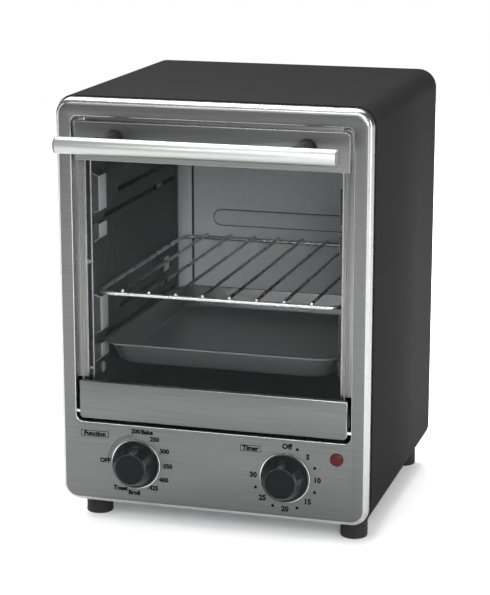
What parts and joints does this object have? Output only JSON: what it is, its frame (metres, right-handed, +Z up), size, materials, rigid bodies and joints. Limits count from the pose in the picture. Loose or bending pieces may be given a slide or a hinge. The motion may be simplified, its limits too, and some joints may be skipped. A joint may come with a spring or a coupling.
{
  "type": "toaster oven",
  "caption": "Tall countertop toaster oven with a drop-down glass door, wire rack, baking tray, rotary function and timer knobs and a rear crumb tray.",
  "frame": {"origin": "bottom centre of the whole object's box, with the feet on Z = 0", "axes": "+X to the right seen from the front, the door faces -Y, +Z up"},
  "size_m": [0.2588, 0.309, 0.3531],
  "materials": {
    "black_paint": "satin",
    "galvanised": "matt galvanised sheet",
    "rubber": "matt",
    "zinc_screw": "bright zinc",
    "brushed_steel": "horizontal brushing",
    "dark_steel": "satin",
    "cavity_steel": "satin grey coating",
    "element_sheath": "dark oxide",
    "ceramic": "unglazed ceramic",
    "switch_plastic": "moulded",
    "chrome_trim": "polished",
    "red_lens": "translucent dark red",
    "black_plastic": "moulded satin",
    "clear_glass": "clear toughened",
    "satin_tube": "satin",
    "grey_plastic": "moulded satin",
    "spring_steel": "oiled wire",
    "gloss_black": "high gloss",
    "chrome_wire": "nickel-chrome plate",
    "tray_enamel": "dark non-stick coating with fine specks"
  },
  "bodies": {
    "oven": {"wrap_shell": "black_paint", "rear_cover": "black_paint", "rear_bulge": "black_paint", "rear_screws": "zinc_screw", "base_plate": "galvanised", "heat_shield": "galvanised", "feet": "rubber", "foot_screws": "zinc_screw", "front_bezel": "brushed_steel", "jamb_left": "dark_steel", "jamb_right": "dark_steel", "jamb_top": "dark_steel", "jamb_rivets": "zinc_screw", "cavity_wall_left": "cavity_steel", "cavity_wall_right": "cavity_steel", "cavity_back": "cavity_steel", "cavity_roof": "cavity_steel", "cavity_floor": "cavity_steel", "shelf_lugs_left": "cavity_steel", "shelf_lugs_right": "cavity_steel", "upper_elements": "element_sheath", "lower_elements": "element_sheath", "element_insulators": "ceramic", "function_switch": "switch_plastic", "timer_unit": "galvanised", "shaft_nuts": "zinc_screw", "knob_rings": "chrome_trim", "lamp_lens": "red_lens", "lamp_holder": "switch_plastic", "terminal_block": "switch_plastic", "cord_gland": "black_plastic", "hinge_brackets": "galvanised"},
    "door": {"door_top_rail": "brushed_steel", "door_bottom_rail": "brushed_steel", "door_glass": "clear_glass", "handle_tube": "satin_tube", "handle_end_caps": "grey_plastic", "handle_standoffs": "black_plastic", "handle_screws": "zinc_screw", "hinge_pins": "zinc_screw", "hinge_arms": "galvanised", "door_springs": "spring_steel"},
    "function_dial": {"function_knob": "gloss_black", "function_shaft": "zinc_screw"},
    "timer_dial": {"timer_knob": "gloss_black", "timer_shaft": "zinc_screw"},
    "rack": {"wire_rack": "chrome_wire"},
    "tray": {"baking_tray": "tray_enamel"},
    "crumb_drawer": {"crumb_tray": "cavity_steel"}
  },
  "joints": [
    {"name": "door_hinge", "type": "hinge", "parent": "oven", "child": "door", "pos_m": [0, -0.1053, 0.0968], "axis": [1, 0, 0], "range_deg": [0, 90], "deforming": ["door_springs"]},
    {"name": "function_turn", "type": "hinge", "parent": "oven", "child": "function_dial", "pos_m": [-0.0633, -0.108, 0.0565], "axis": [0, 1, 0], "range_deg": [-90, 215]},
    {"name": "timer_turn", "type": "hinge", "parent": "oven", "child": "timer_dial", "pos_m": [0.0612, -0.108, 0.0565], "axis": [0, 1, 0], "range_deg": [0, 270]},
    {"name": "rack_slide", "type": "slide", "parent": "oven", "child": "rack", "axis": [0, -1, 0], "range_m": [0, 0.095]},
    {"name": "tray_slide", "type": "slide", "parent": "oven", "child": "tray", "axis": [0, -1, 0], "range_m": [0, 0.072]},
    {"name": "crumb_tray_slide", "type": "slide", "parent": "oven", "child": "crumb_drawer", "axis": [0, 1, 0], "range_m": [0, 0.2]}
  ],
  "couplings": [
    {"joint": "rack_slide", "follows": "door_hinge", "m_per_rad": 0.06},
    {"joint": "tray_slide", "follows": "door_hinge", "m_per_rad": 0.045}
  ]
}
